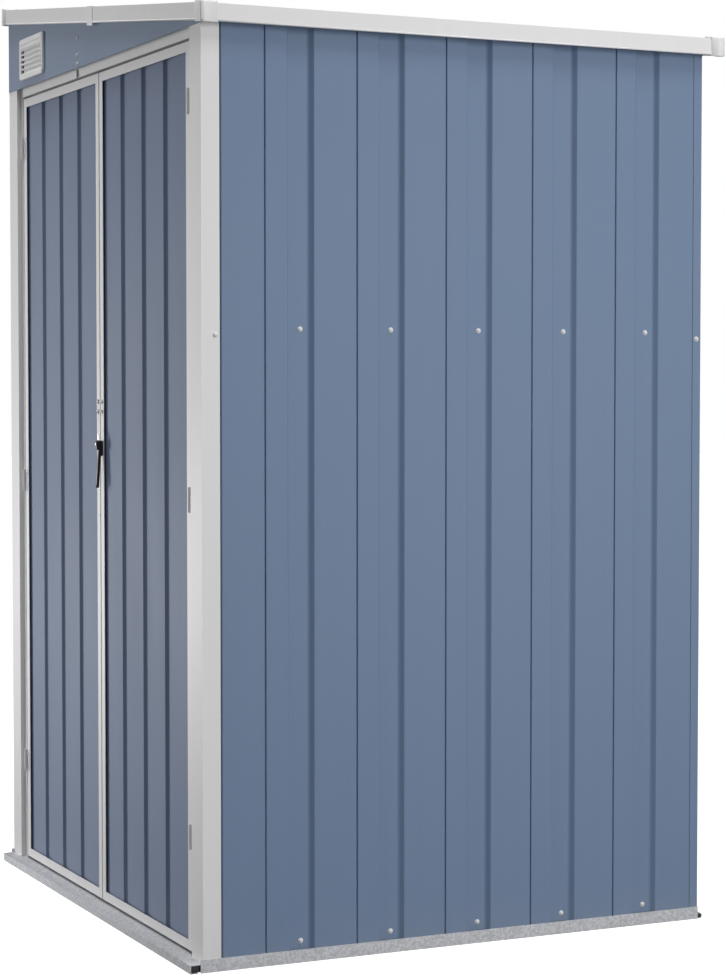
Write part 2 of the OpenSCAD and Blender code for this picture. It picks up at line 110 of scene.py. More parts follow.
def make(name, grids, body, paint, thick=0.0, smooth=True, facing=None):
    """One mesh from grids of points, each (..., rows, cols, 3) with whether its rows and columns close.

    Doubled points at seams and poles are merged, and the faces are turned outwards, or for an
    open sheet to the side it faces. A thickness is laid inwards from the surface.
    """
    verts, faces, start = [], [], 0
    for grid, close_rows, close_cols in grids:
        rows, cols = grid.shape[-3:-1]
        count = grid.size // (rows * cols * 3)
        one = grid_faces(rows, cols, close_rows, close_cols)
        shift = np.arange(count) * rows * cols + start
        verts.append(grid.reshape(-1, 3))
        faces.append((one[None] + shift[:, None, None]).reshape(-1, 4))
        start += count * rows * cols
    mesh = bpy.data.meshes.new(name)
    mesh.from_pydata(np.concatenate(verts).tolist(), [], np.concatenate(faces).tolist())
    work = bmesh.new()
    work.from_mesh(mesh)
    bmesh.ops.remove_doubles(work, verts=work.verts, dist=MERGE)
    bmesh.ops.dissolve_degenerate(work, edges=work.edges, dist=MERGE / 10)
    bmesh.ops.recalc_face_normals(work, faces=work.faces)
    if facing is not None and sum(f.calc_area() * f.normal.dot(Vector(facing)) for f in work.faces) < 0:
        bmesh.ops.reverse_faces(work, faces=work.faces)
    work.to_mesh(mesh)
    work.free()
    mesh.polygons.foreach_set("use_smooth", [smooth] * len(mesh.polygons))
    item = bpy.data.objects.new(name, mesh)
    bpy.context.scene.collection.objects.link(item)
    mesh.materials.append(paint)
    if thick:
        wall = item.modifiers.new("wall", "SOLIDIFY")
        wall.thickness = thick
        wall.offset = -1
    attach(item, body)
    return item


def unit(v):
    """A vector, or rows of vectors, over its length."""
    v = np.asarray(v, float)
    return v / np.linalg.norm(v, axis=-1, keepdims=True)


def across(axis):
    """Two directions square to an axis and to each other."""
    other = Z if abs(axis[2]) < 0.9 else X
    a = unit(np.cross(other, axis))
    return a, np.cross(axis, a)


def turned(profile, centres, axis, sides=14):
    """A profile of (radius, height) turned about an axis.

    Each point is centre + radius * (cos t * a + sin t * b) + height * axis, with a and b square
    to the axis.
    """
    profile, centres, axis = np.asarray(profile, float), np.atleast_2d(centres), unit(axis)
    a, b = across(axis)
    t = np.linspace(0, 2 * np.pi, sides, endpoint=False)[:, None]
    circle = np.cos(t) * a + np.sin(t) * b
    rings = profile[:, 0, None, None] * circle + profile[:, 1, None, None] * axis
    return centres[:, None, None, :] + rings


def carried(profile, path, side, up, ends=True):
    """A profile of (across, up) carried along a path: each path point + across * side + up * up.

    With ends, both ends are closed by a row of points at the profile's middle.
    """
    profile, path = np.asarray(profile, float), np.asarray(path, float)
    section = profile[:, 0, None] * np.asarray(side, float) + profile[:, 1, None] * np.asarray(up, float)
    rows = path[:, None, :] + section[None]
    if ends:
        first = np.broadcast_to(rows[:1].mean(1, keepdims=True), rows[:1].shape)
        last = np.broadcast_to(rows[-1:].mean(1, keepdims=True), rows[-1:].shape)
        rows = np.concatenate([first, rows, last])
    return rows


def power(value, exponent):
    """A signed power, which squares off a circle as the exponent falls under 1."""
    return np.sign(value) * np.abs(value) ** exponent


def soft_block(lo, hi, exponent=0.3, rows=15, cols=28, taper=0.0):
    """A box with soft edges: centre + half * (cos v cos u, cos v sin u, sin v), each to a small power.

    The taper narrows it in X and Y towards its foot.
    """
    lo, hi = np.asarray(lo, float), np.asarray(hi, float)
    v = np.linspace(-np.pi / 2, np.pi / 2, rows)[:, None]
    u = np.linspace(0, 2 * np.pi, cols, endpoint=False)[None]
    shape = np.stack([
        power(np.cos(v), exponent) * power(np.cos(u), exponent),
        power(np.cos(v), exponent) * power(np.sin(u), exponent),
        power(np.sin(v), exponent) * np.ones_like(u)], -1)
    shape[..., :2] *= 1 - taper * (1 - shape[..., 2:]) / 2
    return (lo + hi) / 2 + shape * (hi - lo) / 2


def arc(centre, radius, start, stop, steps=6):
    """Points of a circle's arc, centre + radius (cos t, sin t), with t in degrees."""
    t = np.radians(np.linspace(start, stop, steps))[:, None]
    return np.asarray(centre, float) + radius * np.concatenate([np.cos(t), np.sin(t)], 1)


# ---------- Effects that several finishes share ----------

def new_group(name, inputs, outputs):
    """A shader node group with named float inputs (name, default) and outputs."""
    group = bpy.data.node_groups.new(name, "ShaderNodeTree")
    for label, default in inputs:
        socket = group.interface.new_socket(label, in_out="INPUT", socket_type="NodeSocketFloat")
        socket.default_value = default
    for label in outputs:
        group.interface.new_socket(label, in_out="OUTPUT", socket_type="NodeSocketFloat")
    return group, group.nodes.new("NodeGroupInput"), group.nodes.new("NodeGroupOutput")


def add(tree, kind, **settings):
    """A node of a kind, with its settings; a key that starts with in_ is an input socket's number."""
    node = tree.nodes.new("ShaderNode" + kind)
    for key, value in settings.items():
        if key.startswith("in_"):
            node.inputs[int(key[3:])].default_value = value
        else:
            setattr(node, key, value)
    return node


def maths(tree, operation, a, b=None, c=None, clamp=False):
    """The result of a Math node; each value is a socket or a number."""
    node = add(tree, "Math", operation=operation, use_clamp=clamp)
    for socket, value in zip(node.inputs, (a, b, c)):
        if value is None:
            continue
        if isinstance(value, (int, float)):
            socket.default_value = value
        else:
            tree.links.new(value, socket)
    return node.outputs[0]


def spread(tree, value, low_in, high_in, low_out, high_out):
    """A value moved from one range to another, and held inside it."""
    node = add(tree, "MapRange", clamp=True)
    for socket, item in zip(node.inputs, (value, low_in, high_in, low_out, high_out)):
        if isinstance(item, (int, float)):
            socket.default_value = item
        else:
            tree.links.new(item, socket)
    return node.outputs[0]


def object_place(tree, scale=(1, 1, 1)):
    """Object coordinates, each axis times its own number."""
    place = add(tree, "TexCoord")
    mapping = add(tree, "Mapping")
    mapping.inputs["Scale"].default_value = scale
    tree.links.new(place.outputs["Object"], mapping.inputs["Vector"])
    return mapping.outputs[0]


def noise(tree, place, scale, detail=2.0, rough=0.5):
    """The value of a noise texture at a place, about 0.5 in the middle."""
    node = add(tree, "TexNoise")
    node.inputs["Scale"].default_value = scale
    node.inputs["Detail"].default_value = detail
    node.inputs["Roughness"].default_value = rough
    tree.links.new(place, node.inputs["Vector"])
    return node.outputs["Fac"]


def coat_grain_group():
    """Coated sheet: slow drifts of tone, faint upright roller streaks, and the orange peel of the paint."""
    tree, given, result = new_group(
        "coat_grain", [("Drift", 0.04), ("Streaks", 0.04), ("Peel", 1.0)], ["Tone", "Gloss", "Height"])
    drift = noise(tree, object_place(tree), 2.3, 3.0)
    streak = noise(tree, object_place(tree, (1, 1, 0.015)), 190.0, 2.0)
    band = noise(tree, object_place(tree, (1, 1, 0.03)), 37.0, 1.0)
    peel = noise(tree, object_place(tree), 520.0, 2.0)
    slow = maths(tree, "MULTIPLY", maths(tree, "SUBTRACT", drift, 0.5), given.outputs["Drift"])
    lines = maths(tree, "ADD", maths(tree, "SUBTRACT", streak, 0.5), maths(tree, "SUBTRACT", band, 0.5))
    lines = maths(tree, "MULTIPLY", lines, given.outputs["Streaks"])
    tree.links.new(maths(tree, "ADD", maths(tree, "ADD", slow, lines), 1.0), result.inputs["Tone"])
    tree.links.new(maths(tree, "ADD", maths(tree, "MULTIPLY", slow, 2.0), lines), result.inputs["Gloss"])
    tree.links.new(maths(tree, "MULTIPLY", peel, given.outputs["Peel"]), result.inputs["Height"])
    return tree


def edge_highlight_and_wear_group():
    """How far a rounded edge turns away from the flat of the face, broken up by noise: the mask of a painted
    edge highlight that is partly real wear.
    """
    tree, given, result = new_group("edge_highlight_and_wear", [("Radius", 0.0008), ("Amount", 0.5)], ["Mask"])
    bevel = add(tree, "Bevel", samples=4)
    tree.links.new(given.outputs["Radius"], bevel.inputs["Radius"])
    geometry = add(tree, "NewGeometry")
    dot = add(tree, "VectorMath", operation="DOT_PRODUCT")
    tree.links.new(bevel.outputs[0], dot.inputs[0])
    tree.links.new(geometry.outputs["True Normal"], dot.inputs[1])
    turn = spread(tree, dot.outputs["Value"], 0.97, 0.75, 0.0, 1.0)
    broken = spread(tree, noise(tree, object_place(tree), 60.0, 4.0, 0.6), 0.35, 0.62, 0.2, 1.0)
    mask = maths(tree, "MULTIPLY", maths(tree, "MULTIPLY", turn, broken), given.outputs["Amount"], clamp=True)
    tree.links.new(mask, result.inputs["Mask"])
    return tree


def dust_group():
    """Dust that thins out over the first hand's breadth above the ground, and lies on what faces up."""
    tree, given, result = new_group(
        "settled_dust", [("Foot", 0.3), ("Lying", 0.2), ("Reach", 0.16)], ["Mask"])
    place = object_place(tree)
    parts = add(tree, "SeparateXYZ")
    tree.links.new(place, parts.inputs[0])
    normal = add(tree, "SeparateXYZ")
    tree.links.new(add(tree, "NewGeometry").outputs["True Normal"], normal.inputs[0])
    patch = spread(tree, noise(tree, place, 21.0, 5.0, 0.62), 0.32, 0.68, 0.25, 1.0)
    foot = spread(tree, parts.outputs["Z"], 0.0, given.outputs["Reach"], 1.0, 0.0)
    foot = maths(tree, "MULTIPLY", maths(tree, "MULTIPLY", foot, foot), given.outputs["Foot"])
    level = spread(tree, normal.outputs["Z"], 0.6, 1.0, 0.0, 1.0)
    lying = maths(tree, "MULTIPLY", level, given.outputs["Lying"])
    mask = maths(tree, "MULTIPLY", maths(tree, "ADD", foot, lying), patch, clamp=True)
    tree.links.new(mask, result.inputs["Mask"])
    return tree


def spangle_group():
    """Zinc crystals: cells of chance tone, each with its own sheen, and a fine frost over them."""
    tree, given, result = new_group(
        "zinc_spangle", [("Size", 150.0), ("Contrast", 0.3)], ["Tone", "Gloss", "Height"])
    place = object_place(tree)
    warp = add(tree, "TexNoise")
    warp.inputs["Scale"].default_value = 90.0
    tree.links.new(place, warp.inputs["Vector"])
    bend = add(tree, "VectorMath", operation="MULTIPLY_ADD")
    tree.links.new(warp.outputs["Color"], bend.inputs[0])
    bend.inputs[1].default_value = (0.006, 0.006, 0.006)
    tree.links.new(place, bend.inputs[2])
    cells = add(tree, "TexVoronoi", feature="F1")
    tree.links.new(given.outputs["Size"], cells.inputs["Scale"])
    tree.links.new(bend.outputs[0], cells.inputs["Vector"])
    chance = add(tree, "SeparateColor")
    tree.links.new(cells.outputs["Color"], chance.inputs[0])
    frost = noise(tree, place, 900.0, 3.0)
    tone = maths(tree, "MULTIPLY", maths(tree, "SUBTRACT", chance.outputs[0], 0.5), given.outputs["Contrast"])
    tone = maths(tree, "ADD", tone, maths(tree, "MULTIPLY", maths(tree, "SUBTRACT", frost, 0.5), 0.12))
    tree.links.new(maths(tree, "ADD", tone, 1.0), result.inputs["Tone"])
    sheen = maths(tree, "MULTIPLY", maths(tree, "SUBTRACT", chance.outputs[1], 0.5), 0.22)
    tree.links.new(sheen, result.inputs["Gloss"])
    tree.links.new(maths(tree, "ADD", chance.outputs[2], frost), result.inputs["Height"])
    return tree


GROUPS = {
    "coat": coat_grain_group(),
    "highlight_and_wear": edge_highlight_and_wear_group(),
    "dust": dust_group(),
    "zinc": spangle_group(),
}


# ---------- Finishes ----------

def effect(tree, name, **values):
    """One of the shared effects, placed in a material with its own values."""
    node = tree.nodes.new("ShaderNodeGroup")
    node.node_tree = GROUPS[name]
    for label, value in values.items():
        node.inputs[label].default_value = value
    return node


def blend_colours(tree, mask, first, second):
    """A colour that goes from the first to the second with a mask; each is a socket or a colour."""
    node = add(tree, "Mix", data_type="RGBA")
    tree.links.new(mask, node.inputs[0])
    for socket, value in ((node.inputs[6], first), (node.inputs[7], second)):
        if isinstance(value, tuple):
            socket.default_value = (*value, 1)
        else:
            tree.links.new(value, socket)
    return node.outputs[2]


def toned(tree, colour, tone):
    """A colour made lighter or darker by a tone near 1."""
    scale = add(tree, "VectorMath", operation="SCALE")
    scale.inputs[0].default_value = colour
    tree.links.new(tone, scale.inputs["Scale"])
    return scale.outputs[0]


DUST = (0.46, 0.43, 0.38)
DUST_ROUGHENS = 0.35


def finish(name, colour, grain, grain_values, roughness, bump, highlight_and_wear, edge_highlight_and_bare, dust, metallic=0.0, specular=0.3):
    """A finish: a base colour with its grain, edges lightened as a painted highlight that is partly real
    wear, settled dust, and roughness and relief to match.

    Bump is a strength and a height in metres. The highlight and wear value is the edges' radius and the
    amount they go to their edge colour, a lighter tint that paints a highlight on rounded edges and is partly
    real wear. Dust is the amount near the foot, the amount lying on what faces up, and the height it reaches.
    """
    paint = bpy.data.materials.new(name)
    paint.use_nodes = True
    tree = paint.node_tree
    shader = tree.nodes["Principled BSDF"]
    shader.inputs["Metallic"].default_value = metallic
    shader.inputs["Specular IOR Level"].default_value = specular
    surface = effect(tree, grain, **grain_values)
    # Rounded edges go towards the edge colour: a painted edge highlight, partly real wear
    highlit_and_worn = effect(tree, "highlight_and_wear", Radius=highlight_and_wear[0], Amount=highlight_and_wear[1])
    dusty = effect(tree, "dust", Foot=dust[0], Lying=dust[1], Reach=dust[2])
    base = toned(tree, colour, surface.outputs["Tone"])
    base = blend_colours(tree, highlit_and_worn.outputs["Mask"], base, edge_highlight_and_bare)
    base = blend_colours(tree, dusty.outputs["Mask"], base, DUST)
    tree.links.new(base, shader.inputs["Base Color"])
    rough = maths(tree, "ADD", surface.outputs["Gloss"], roughness)
    powdered = maths(tree, "MULTIPLY", dusty.outputs["Mask"], DUST_ROUGHENS)
    rough = maths(tree, "ADD", rough, powdered, clamp=True)
    tree.links.new(rough, shader.inputs["Roughness"])
    relief = add(tree, "Bump")
    relief.inputs["Strength"].default_value = bump[0]
    relief.inputs["Distance"].default_value = bump[1]
    tree.links.new(surface.outputs["Height"], relief.inputs["Height"])
    tree.links.new(relief.outputs[0], shader.inputs["Normal"])
    return paint


# Each finish's edge colour, mostly a lighter tint of its paint, is a painted highlight on rounded edges and
# partly real wear
PAINT = {
    "blue_steel": finish(
        "blue_coated_steel", (0.163, 0.234, 0.360), "coat", dict(Drift=0.06, Streaks=0.05, Peel=1.0),
        0.55, (0.25, 0.0003), edge_highlight_and_bare=(0.30, 0.37, 0.47), highlight_and_wear=(0.0005, 0.15), dust=(0.16, 0.10, 0.12)),
    "door_blue_steel": finish(
        "door_blue_coated_steel", (0.178, 0.233, 0.360), "coat", dict(Drift=0.06, Streaks=0.07, Peel=1.0),
        0.62, (0.25, 0.0003), edge_highlight_and_bare=(0.33, 0.37, 0.45), highlight_and_wear=(0.0005, 0.12), dust=(0.20, 0.10, 0.20),
        specular=0.22),
    "white_steel": finish(
        "white_coated_steel", (0.790, 0.785, 0.795), "coat", dict(Drift=0.03, Streaks=0.03, Peel=0.8),
        0.48, (0.2, 0.0002), edge_highlight_and_bare=(0.90, 0.90, 0.91), highlight_and_wear=(0.0007, 0.35), dust=(0.22, 0.06, 0.14)),
    "white_caps": finish(
        "white_cap_plastic", (0.780, 0.775, 0.785), "coat", dict(Drift=0.03, Streaks=0.0, Peel=1.6),
        0.38, (0.25, 0.0003), edge_highlight_and_bare=(0.88, 0.88, 0.89), highlight_and_wear=(0.0009, 0.3), dust=(0.1, 0.06, 0.1)),
    "white_hinges": finish(
        "white_coated_hinges", (0.790, 0.785, 0.795), "coat", dict(Drift=0.05, Streaks=0.0, Peel=1.2),
        0.42, (0.25, 0.0002), edge_highlight_and_bare=(0.72, 0.72, 0.73), highlight_and_wear=(0.0004, 0.3), dust=(0.1, 0.1, 0.1)),
    "white_plastic": finish(
        "white_vent_plastic", (0.770, 0.770, 0.780), "coat", dict(Drift=0.03, Streaks=0.0, Peel=2.0),
        0.42, (0.3, 0.0003), edge_highlight_and_bare=(0.86, 0.86, 0.87), highlight_and_wear=(0.0006, 0.3), dust=(0.1, 0.18, 0.1)),
    "galvanised_steel": finish(
        "galvanised_steel", (0.560, 0.575, 0.610), "zinc", dict(Size=260.0, Contrast=0.34),
        0.46, (0.15, 0.0002), metallic=0.3, edge_highlight_and_bare=(0.82, 0.82, 0.83), highlight_and_wear=(0.0007, 0.5),
        dust=(0.18, 0.12, 0.05)),
    "black_lock": finish(
        "black_moulded_plastic", (0.030, 0.030, 0.034), "coat", dict(Drift=0.2, Streaks=0.0, Peel=2.5),
        0.34, (0.35, 0.0003), edge_highlight_and_bare=(0.12, 0.12, 0.12), highlight_and_wear=(0.0008, 0.5), dust=(0.0, 0.1, 0.1)),
}
BOLT_ZINC = finish(
    "bright_zinc_screws", (0.62, 0.62, 0.64), "zinc", dict(Size=700.0, Contrast=0.2),
    0.30, (0.1, 0.0001), metallic=0.85, edge_highlight_and_bare=(0.85, 0.85, 0.86), highlight_and_wear=(0.0004, 0.4), dust=(0.1, 0.1, 0.1))

for row in frame["record"]["subparts"]:
    node = frame["nodes"][row["node"]]
    node.data.materials.clear()
    node.data.materials.append(PAINT[row["material_slot"]])


# ---------- Ribbed sheets ----------

EDGE = 0.5 * MM           # a further point this far in from a sheet's rim keeps its shading level
LEVEL = 0.6 * MM          # a further point this far past a fold does the same


def rounded(path, reach, steps=7):
    """A path with its corners rounded.

    A corner p becomes the curve (1-t)^2 a + 2t(1-t) p + t^2 b, where a and b lie at its reach
    before and after it. A further point on each flat keeps the flat's shading level.
    """
    corner = path[1:-1]
    before, after = path[:-2] - corner, path[2:] - corner
    room = np.minimum(np.linalg.norm(before, axis=1), np.linalg.norm(after, axis=1))
    reach = np.minimum(reach[1:-1], 0.45 * room)[:, None]
    rest = np.minimum(reach + LEVEL, 0.49 * room[:, None])
    before, after = unit(before), unit(after)
    t = np.linspace(0, 1, steps)[None, :, None]
    a, p, b = (corner + before * reach)[:, None], corner[:, None], (corner + after * reach)[:, None]
    bend = (1 - t) ** 2 * a + 2 * t * (1 - t) * p + t ** 2 * b
    bend = np.concatenate([(corner + before * rest)[:, None], bend, (corner + after * rest)[:, None]], 1)
    first = path[:1] + unit(path[1:2] - path[:1]) * EDGE
    last = path[-1:] + unit(path[-2:-1] - path[-1:]) * EDGE
    return np.concatenate([path[:1], first, bend.reshape(-1, 2), last, path[-1:]])


def fold_line(node, square, out):
    """The outer line of a folded sheet: its points along and its depths, from the node's two faces.

    A depth belongs to the outer face where another lies one sheet's thickness behind it.
    """
    same, near = 0.01 * MM, 0.03 * MM
    spots = points_of(node)
    depth = np.round((out * spots[:, square]).max() - out * spots[:, square], 5)
    levels = np.unique(depth)
    outer = levels[(np.abs(levels[:, None] + SHEET - levels[None]) < near).any(1)]
    kept = (np.abs(depth[:, None] - outer[None]) < same).any(1)
    rows = np.stack([np.round(spots[kept, 1 - square], 5), depth[kept]], 1)
    return np.unique(rows, axis=0)


def ribbed_sheet(name, node, square, out, body, slot, lifted=None):
    """A node's ribbed sheet with softly rolled folds: its fold line carried straight up.

    The folds at a channel's floor are wide and those on the crests tight. Where the line lies
    before the lifted place, the sheet's foot stands on the sill.
    """
    path = fold_line(node, square, out)
    deep, wide_fold, tight_fold = 4 * MM, 3.6 * MM, 1.0 * MM
    line = rounded(path, np.where(path[:, 1] > deep, wide_fold, tight_fold))
    face = out * (out * points_of(node)[:, square]).max()
    foot = np.full(len(line), low(node)[2])
    if lifted is not None:
        foot[line[:, 0] < lifted[0]] = lifted[1]
    grid = np.empty((4, len(line), 3))
    grid[:, :, square] = face - out * line[:, 1]
    grid[:, :, 1 - square] = line[:, 0]
    grid[:2, :, 2], grid[2:, :, 2] = foot, high(node)[2]
    grid[1, :, 2] += EDGE
    grid[2, :, 2] -= EDGE
    facing = out * np.eye(3)[square]
    piece = make(name, [(grid, False, False)], body, PAINT[slot], thick=SHEET, facing=facing)
    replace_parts(piece, node)


sill_top = (high("front_base_rail")[1], low("front_right_post")[2])
ribbed_sheet("right_wall_sheet", "right_wall", 0, 1, "shed", "blue_steel", sill_top)
ribbed_sheet("left_wall_sheet", "left_wall", 0, -1, "shed", "blue_steel", sill_top)
ribbed_sheet("back_wall_sheet", "back_wall", 1, 1, "shed", "blue_steel")
ribbed_sheet("left_door_sheet", "left_door_panel", 1, -1, "left_door", "door_blue_steel")
ribbed_sheet("right_door_sheet", "right_door_panel", 1, -1, "right_door", "door_blue_steel")


# ---------- Screws ----------

# A pan head on a washer: radius and height of each ring, in shares of the head's radius
PAN_HEAD = np.array([[1.45, 0], [1.5, 0.10], [1.42, 0.2], [1.0, 0.24], [0.98, 0.5],
                     [0.80, 0.74], [0.45, 0.88], [0.22, 0.90], [0.16, 0.62], [0, 0.60]])
# A low round head without a washer
RIVET_HEAD = np.array([[1.0, 0], [0.96, 0.25], [0.74, 0.5], [0.38, 0.62], [0, 0.66]])


def screws(name, centres, axis, radius, body, paint, head=PAN_HEAD):
    """Screw heads, one at each centre: the head's profile turned about its axis."""
    grid = turned(head * radius, np.asarray(centres, float), np.asarray(axis, float), 12)
    return make(name, [(grid, False, True)], body, paint)


def places(x, y, z):
    """Every mix of the x, y and z values, as rows."""
    return np.stack([a.ravel() for a in np.meshgrid(x, y, z, indexing="ij")], 1).astype(float)


def channel_middles(node, axis, level):
    """Where a ribbed sheet's channels lie along an axis: the middle of each pair of points on a floor."""
    spots = points_of(node)
    square = 0 if axis == 1 else 1
    along = np.unique(np.round(spots[np.abs(spots[:, square] - level) < 0.05 * MM, axis], 5))
    pairs = along[: len(along) // 2 * 2].reshape(-1, 2)
    return pairs.mean(1)


def middle(node, axis):
    """Middle of a node's box along an axis."""
    return (low(node)[axis] + high(node)[axis]) / 2


BOLT = 3.3 * MM                                           # radius of a wall bolt's head
BEHIND_MIDDLE = 4 * MM                                    # the bolts sit this far behind a channel's middle
POST_REACH = 60 * MM                                      # what lies nearer to the front is the post's
WALL_FLOOR = low("right_wall")[0] + SHEET                 # outer face of the channels' floors
BACK_FLOOR = low("back_wall")[1] + SHEET
BASE_SHARE = 0.6                                          # how far up the base rail its bolts sit
MID_Z = middle("right_mid_rail", 2)
BASE_Z = high("right_base_rail")[2] * BASE_SHARE
POST_BOLT_Z = MID_Z - 11 * MM
POST_BOLTS_Y = (FRONT + 25 * MM, BACK - 9 * MM)
side_channels = channel_middles("right_wall", 1, WALL_FLOOR)
side_channels = side_channels[side_channels > FRONT + POST_REACH] + BEHIND_MIDDLE
back_channels = channel_middles("back_wall", 0, BACK_FLOOR)
side_bolts = places([WALL_FLOOR], side_channels, [BASE_Z, MID_Z])
post_bolts = places([POST], POST_BOLTS_Y, [POST_BOLT_Z])
screws("right_wall_bolts", side_bolts, X, BOLT, "shed", PAINT["white_steel"])
screws("left_wall_bolts", side_bolts * MIRROR, -X, BOLT, "shed", PAINT["white_steel"])
screws("right_post_bolts", post_bolts, X, BOLT, "shed", PAINT["white_steel"])
screws("left_post_bolts", post_bolts * MIRROR, -X, BOLT, "shed", PAINT["white_steel"])
screws("back_wall_bolts", places(back_channels, [BACK_FLOOR], [BASE_Z, MID_Z]), Y, BOLT, "shed",
       PAINT["white_steel"])


# ---------- Roof edge ----------

def hem(name, start, stop, out):
    """The rolled edge along the foot of a trim: a small circle carried along the foot's line."""
    roll, inset, lift = 1.7 * MM, 0.75 * MM, 1.2 * MM
    circle = arc((0, 0), roll, 0, 330, 12)
    path = np.array([start, stop]) - out * inset + Z * lift
    make(name, [(carried(circle, path, out, Z), False, True)], "shed", PAINT["white_steel"])


def foot_of(node, x):
    """Lowest point of a sloping trim near one of its ends."""
    spots = points_of(node)
    return spots[np.abs(spots[:, 0] - x) < MM, 2].min()


for label, face, out in (("front", low("front_roof_trim")[1], -Y), ("back", high("back_roof_trim")[1], Y)):
    node = label + "_roof_trim"
    x0, x1 = low(node)[0], high(node)[0]
    hem(label + "_trim_hem", (x0, face, foot_of(node, x0)), (x1, face, foot_of(node, x1)), out)
for label, face, out in (("right", high("right_roof_trim")[0], X), ("left", low("left_roof_trim")[0], -X)):
    node = label + "_roof_trim"
    spots = points_of(node)
    foot = spots[np.abs(spots[:, 0] - face) < 0.1 * MM, 2].min()
    hem(label + "_trim_hem", (face, low(node)[1], foot), (face, high(node)[1], foot), out)


def corner_cap(side, end):
    """A moulded corner cap: a rounded profile carried round the corner in plan.

    The path runs along one arm, turns the corner on a radius that shrinks by the distance in
    from the outside, and runs along the other arm; heights fall with the roof. A last row at
    each end steps in and down to the trim.
    """
    spots = CAPS[(np.sign(CAPS[:, 0]) == side) & (np.sign(CAPS[:, 1]) == end)]
    x_out = side * np.abs(spots[:, 0]).max()
    y_out = end * np.abs(spots[:, 1]).max()
    arm = np.abs(spots[:, 1]).max() - np.abs(spots[:, 1]).min()
    tall = spots[np.abs(spots[:, 0] - x_out) < 0.1 * MM, 2]
    tall = tall.max() - tall.min()
    edge, corner, flat, width = 3 * MM, 5 * MM, 12 * MM, 22 * MM
    step_in, step_down = 1.0 * MM, 3.7 * MM
    lip = np.array([[2.6, 0.4], [1.2, 0], [0.3, 0.3], [0, 1.4]]) * MM - [0, tall]
    profile = np.concatenate([
        lip, [[0, -tall / 2]], arc((edge, -edge), edge, 180, 90, 6), [[flat, 0], [width, 0]]])
    depth, drop = profile[:, 0], profile[:, 1]
    turn = np.radians(np.linspace(0, 90, 7))[:, None]
    radius = np.maximum(corner - depth, 0)
    centre = np.maximum(corner, depth)
    in_x = np.concatenate([np.full((1, len(depth)), arm), centre - radius * np.sin(turn),
                           (centre - radius)[None]])
    in_y = np.concatenate([(centre - radius)[None], centre - radius * np.cos(turn),
                           np.full((1, len(depth)), arm)])
    fall = np.broadcast_to(drop, in_x.shape)
    shoulder = np.maximum(depth, step_in)
    sunk = np.minimum(drop, -step_down)
    in_x = np.concatenate([in_x[:1], in_x, shoulder[None]])
    in_y = np.concatenate([shoulder[None], in_y, in_y[-1:]])
    fall = np.concatenate([sunk[None], fall, sunk[None]])
    x = x_out - side * in_x
    return np.stack([x, y_out - end * in_y, under_roof(x) + fall], -1)


caps = [(corner_cap(side, end), False, False) for side in (-1, 1) for end in (-1, 1)]
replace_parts(make("moulded_corner_caps", caps, "shed", PAINT["white_caps"], thick=CAP_WALL),
            "roof_corner_caps")

# Roof screws, on the flats between the ribs, over the edges and the beam
ROOF_SCREW = 4 * MM
ROOF_SCREW_X = (-0.47, -0.16, 0.16, 0.47)
ROOF_SCREW_PITCH = 86 * MM
FIRST_ROW, LAST_ROW = 22 * MM, 15 * MM                    # least distances from a panel's two edges
roof_rows = np.concatenate([
    np.arange(low(panel)[1] + FIRST_ROW, high(panel)[1] - LAST_ROW, ROOF_SCREW_PITCH)
    for panel in ("front_roof_panel", "back_roof_panel")])
roof_up = unit([SLOPE, 0, 1])
high_end = points_of("front_roof_panel")
high_end = high_end[high_end[:, 0] - high_end[:, 0].min() < 2 * MM]
flat_x = high_end[:, 0].min()
flat_z = high_end[:, 2].min() + SHEET
roof_spots = places(ROOF_SCREW_X, roof_rows, [0])
roof_spots[:, 2] = flat_z - SLOPE * (roof_spots[:, 0] - flat_x)
screws("roof_screws", roof_spots, roof_up, ROOF_SCREW, "shed", BOLT_ZINC)


# ---------- Gable ----------

GABLE_BOLT = 3 * MM
GABLE_BOLT_X = -98 * MM
gable_foot = low("front_gable_panel")[2]
gable_bolt_z = gable_foot + np.array([7, 24, 57]) * MM
gable_bolts = places([GABLE_BOLT_X], [low("front_gable_panel")[1]], gable_bolt_z)
back_gable_bolts = places([GABLE_BOLT_X], [high("back_gable_panel")[1]], gable_bolt_z[1:])
screws("gable_bolts", gable_bolts, -Y, GABLE_BOLT, "shed", PAINT["white_steel"])
screws("back_gable_bolts", back_gable_bolts, Y, GABLE_BOLT, "shed", PAINT["white_steel"])


def ring_path(lo, hi, radius, steps=5):
    """A rectangle in X and Z with rounded corners: a closed run of points, and each point's way out."""
    corners = [((hi[0] - radius, hi[1] - radius), 0), ((lo[0] + radius, hi[1] - radius), 90),
               ((lo[0] + radius, lo[1] + radius), 180), ((hi[0] - radius, lo[1] + radius), 270)]
    spots = np.concatenate([arc(c, radius, a, a + 90, steps) for c, a in corners])
    ways = np.concatenate([arc((0, 0), 1, a, a + 90, steps) for c, a in corners])
    return spots, ways


